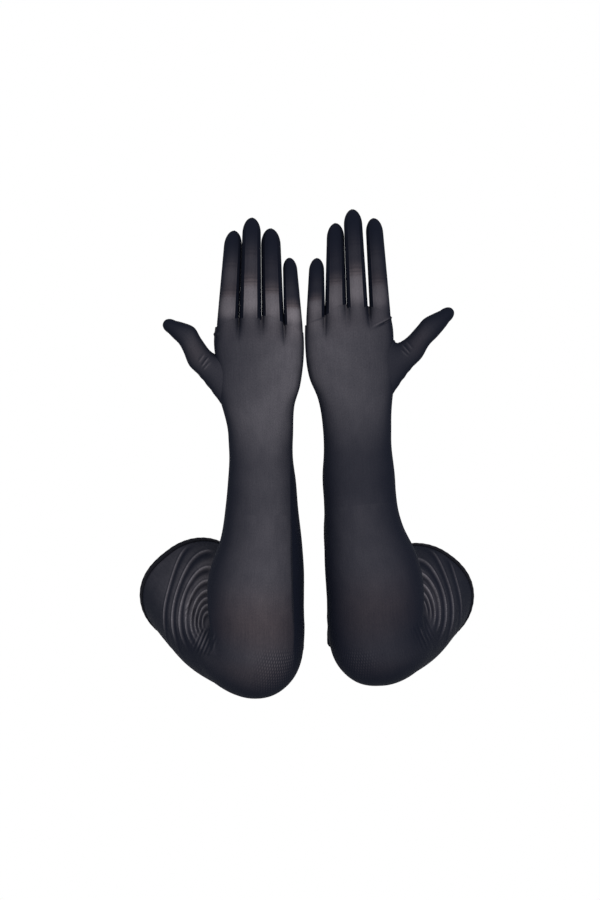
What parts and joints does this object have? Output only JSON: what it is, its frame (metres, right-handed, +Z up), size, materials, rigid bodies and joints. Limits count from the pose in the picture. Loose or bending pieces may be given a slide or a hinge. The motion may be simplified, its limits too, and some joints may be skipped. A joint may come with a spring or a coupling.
{
  "type": "pair of opera gloves",
  "caption": "Pair of sheer over-the-elbow gloves in worn shape, with jointed fingers, thumbs, wrists and elbows, dark side walls between the fingers and an elastic hem.",
  "frame": {"origin": "midway between the two arm openings, on the plane between the gloves", "axes": "+Z up the forearms to the fingertips, +Y from the backs of the hands to the palms, +X from the wearer's right glove to the left"},
  "size_m": [0.2992, 0.1956, 0.4381],
  "materials": {
    "sheer_knit": "sheer black stretch knit, matt, charcoal where it is stretched over the arm",
    "side_wall": "the same knit doubled at the seams, near black",
    "hem_band": "turned elastic hem, near black",
    "seam": "overlocked seam, near black"
  },
  "bodies": {
    "right_upper_arm": {"right_upper_sleeve": "sheer_knit", "right_hem_band": "hem_band", "right_elbow_section": "sheer_knit"},
    "right_forearm": {"right_forearm_sleeve": "sheer_knit", "right_side_seam": "seam"},
    "right_hand": {"right_hand_back": "sheer_knit", "right_hand_palm": "sheer_knit", "right_wrist_section": "sheer_knit", "right_thumb_gusset": "sheer_knit"},
    "right_index": {"right_index_wrap": "sheer_knit", "right_index_side_wall": "side_wall"},
    "right_index_end": {"right_index_tip": "sheer_knit"},
    "right_middle": {"right_middle_back": "sheer_knit", "right_middle_palm": "sheer_knit", "right_middle_thumb_side_wall": "side_wall", "right_middle_little_side_wall": "side_wall"},
    "right_middle_end": {"right_middle_tip": "sheer_knit"},
    "right_ring": {"right_ring_back": "sheer_knit", "right_ring_palm": "sheer_knit", "right_ring_thumb_side_wall": "side_wall", "right_ring_little_side_wall": "side_wall"},
    "right_ring_end": {"right_ring_tip": "sheer_knit"},
    "right_little": {"right_little_wrap": "sheer_knit", "right_little_side_wall": "side_wall"},
    "right_little_end": {"right_little_tip": "sheer_knit"},
    "right_thumb": {"right_thumb_base": "sheer_knit"},
    "right_thumb_end": {"right_thumb_tip": "sheer_knit"},
    "left_upper_arm": {"left_upper_sleeve": "sheer_knit", "left_hem_band": "hem_band", "left_elbow_section": "sheer_knit"},
    "left_forearm": {"left_forearm_sleeve": "sheer_knit", "left_side_seam": "seam"},
    "left_hand": {"left_hand_back": "sheer_knit", "left_hand_palm": "sheer_knit", "left_wrist_section": "sheer_knit", "left_thumb_gusset": "sheer_knit"},
    "left_index": {"left_index_wrap": "sheer_knit", "left_index_side_wall": "side_wall"},
    "left_index_end": {"left_index_tip": "sheer_knit"},
    "left_middle": {"left_middle_back": "sheer_knit", "left_middle_palm": "sheer_knit", "left_middle_thumb_side_wall": "side_wall", "left_middle_little_side_wall": "side_wall"},
    "left_middle_end": {"left_middle_tip": "sheer_knit"},
    "left_ring": {"left_ring_back": "sheer_knit", "left_ring_palm": "sheer_knit", "left_ring_thumb_side_wall": "side_wall", "left_ring_little_side_wall": "side_wall"},
    "left_ring_end": {"left_ring_tip": "sheer_knit"},
    "left_little": {"left_little_wrap": "sheer_knit", "left_little_side_wall": "side_wall"},
    "left_little_end": {"left_little_tip": "sheer_knit"},
    "left_thumb": {"left_thumb_base": "sheer_knit"},
    "left_thumb_end": {"left_thumb_tip": "sheer_knit"}
  },
  "joints": [
    {"name": "right_elbow", "type": "hinge", "parent": "right_upper_arm", "child": "right_forearm", "pos_m": [-0.043, -0.127, -0.052], "axis": [-0.9009, -0.4339, 0.011], "range_deg": [-111, 8], "deforming": ["right_elbow_section"]},
    {"name": "right_wrist", "type": "hinge", "parent": "right_forearm", "child": "right_hand", "pos_m": [-0.0405, -0.127, 0.152], "axis": [-1, 0, 0], "range_deg": [-55, 60], "deforming": ["right_wrist_section"]},
    {"name": "right_index_base", "type": "hinge", "parent": "right_hand", "child": "right_index", "pos_m": [-0.0684, -0.127, 0.242], "axis": [-0.9982, 0, 0.0597], "range_deg": [-15, 75]},
    {"name": "right_index_joint", "type": "hinge", "parent": "right_index", "child": "right_index_end", "pos_m": [-0.06687, -0.128, 0.2676], "axis": [-0.9982, 0, 0.0597], "range_deg": [0, 65]},
    {"name": "right_middle_base", "type": "hinge", "parent": "right_hand", "child": "right_middle", "pos_m": [-0.0483, -0.127, 0.245], "axis": [-0.9999, 0, 0.0166], "range_deg": [-15, 75]},
    {"name": "right_middle_joint", "type": "hinge", "parent": "right_middle", "child": "right_middle_end", "pos_m": [-0.04775, -0.128, 0.2784], "axis": [-0.9999, 0, 0.0166], "range_deg": [0, 65]},
    {"name": "right_ring_base", "type": "hinge", "parent": "right_hand", "child": "right_ring", "pos_m": [-0.0281, -0.127, 0.244], "axis": [-0.9997, 0, -0.0256], "range_deg": [-15, 75]},
    {"name": "right_ring_joint", "type": "hinge", "parent": "right_ring", "child": "right_ring_end", "pos_m": [-0.02877, -0.128, 0.2703], "axis": [-0.9997, 0, -0.0256], "range_deg": [0, 65]},
    {"name": "right_little_base", "type": "hinge", "parent": "right_hand", "child": "right_little", "pos_m": [-0.0104, -0.127, 0.239], "axis": [-0.9992, 0, -0.0396], "range_deg": [-15, 75]},
    {"name": "right_little_joint", "type": "hinge", "parent": "right_little", "child": "right_little_end", "pos_m": [-0.01107, -0.128, 0.256], "axis": [-0.9992, 0, -0.0396], "range_deg": [0, 65]},
    {"name": "right_thumb_swing", "type": "hinge", "parent": "right_hand", "child": "right_thumb", "pos_m": [-0.0785, -0.125, 0.194], "axis": [0, 0, -1], "range_deg": [-10, 50], "deforming": ["right_thumb_gusset"]},
    {"name": "right_thumb_joint", "type": "hinge", "parent": "right_thumb", "child": "right_thumb_end", "pos_m": [-0.107, -0.122, 0.2275], "axis": [-0.4055, 0.3877, -0.8278], "range_deg": [0, 70]},
    {"name": "left_elbow", "type": "hinge", "parent": "left_upper_arm", "child": "left_forearm", "pos_m": [0.066, -0.127, -0.042], "axis": [0.9371, -0.3373, 0.0905], "range_deg": [-8, 104], "deforming": ["left_elbow_section"]},
    {"name": "left_wrist", "type": "hinge", "parent": "left_forearm", "child": "left_hand", "pos_m": [0.0464, -0.127, 0.161], "axis": [-1, 0, 0], "range_deg": [-55, 60], "deforming": ["left_wrist_section"]},
    {"name": "left_index_base", "type": "hinge", "parent": "left_hand", "child": "left_index", "pos_m": [0.06907, -0.127, 0.25246], "axis": [-0.9972, 0, -0.0744], "range_deg": [-15, 75]},
    {"name": "left_index_joint", "type": "hinge", "parent": "left_index", "child": "left_index_end", "pos_m": [0.06717, -0.128, 0.27799], "axis": [-0.9972, 0, -0.0744], "range_deg": [0, 65]},
    {"name": "left_middle_base", "type": "hinge", "parent": "left_hand", "child": "left_middle", "pos_m": [0.04883, -0.127, 0.25429], "axis": [-0.9989, 0, -0.0463], "range_deg": [-15, 75]},
    {"name": "left_middle_joint", "type": "hinge", "parent": "left_middle", "child": "left_middle_end", "pos_m": [0.04729, -0.128, 0.28766], "axis": [-0.9989, 0, -0.0463], "range_deg": [0, 65]},
    {"name": "left_ring_base", "type": "hinge", "parent": "left_hand", "child": "left_ring", "pos_m": [0.02872, -0.127, 0.25213], "axis": [-1, 0, -0.0041], "range_deg": [-15, 75]},
    {"name": "left_ring_joint", "type": "hinge", "parent": "left_ring", "child": "left_ring_end", "pos_m": [0.02862, -0.128, 0.27847], "axis": [-1, 0, -0.0041], "range_deg": [0, 65]},
    {"name": "left_little_base", "type": "hinge", "parent": "left_hand", "child": "left_little", "pos_m": [0.01134, -0.127, 0.24612], "axis": [-0.9999, 0, 0.014], "range_deg": [-15, 75]},
    {"name": "left_little_joint", "type": "hinge", "parent": "left_little", "child": "left_little_end", "pos_m": [0.01158, -0.128, 0.26317], "axis": [-0.9999, 0, 0.014], "range_deg": [0, 65]},
    {"name": "left_thumb_swing", "type": "hinge", "parent": "left_hand", "child": "left_thumb", "pos_m": [0.08192, -0.125, 0.20512], "axis": [-0.0576, 0, 0.9983], "range_deg": [-10, 50], "deforming": ["left_thumb_gusset"]},
    {"name": "left_thumb_joint", "type": "hinge", "parent": "left_thumb", "child": "left_thumb_end", "pos_m": [0.11202, -0.122, 0.23891], "axis": [-0.4009, -0.3751, 0.8358], "range_deg": [0, 70]},
    {"name": "gloves_part", "type": "slide", "parent": "right_upper_arm", "child": "left_upper_arm", "axis": [1, 0, 0], "range_m": [0, 0.2]}
  ]
}
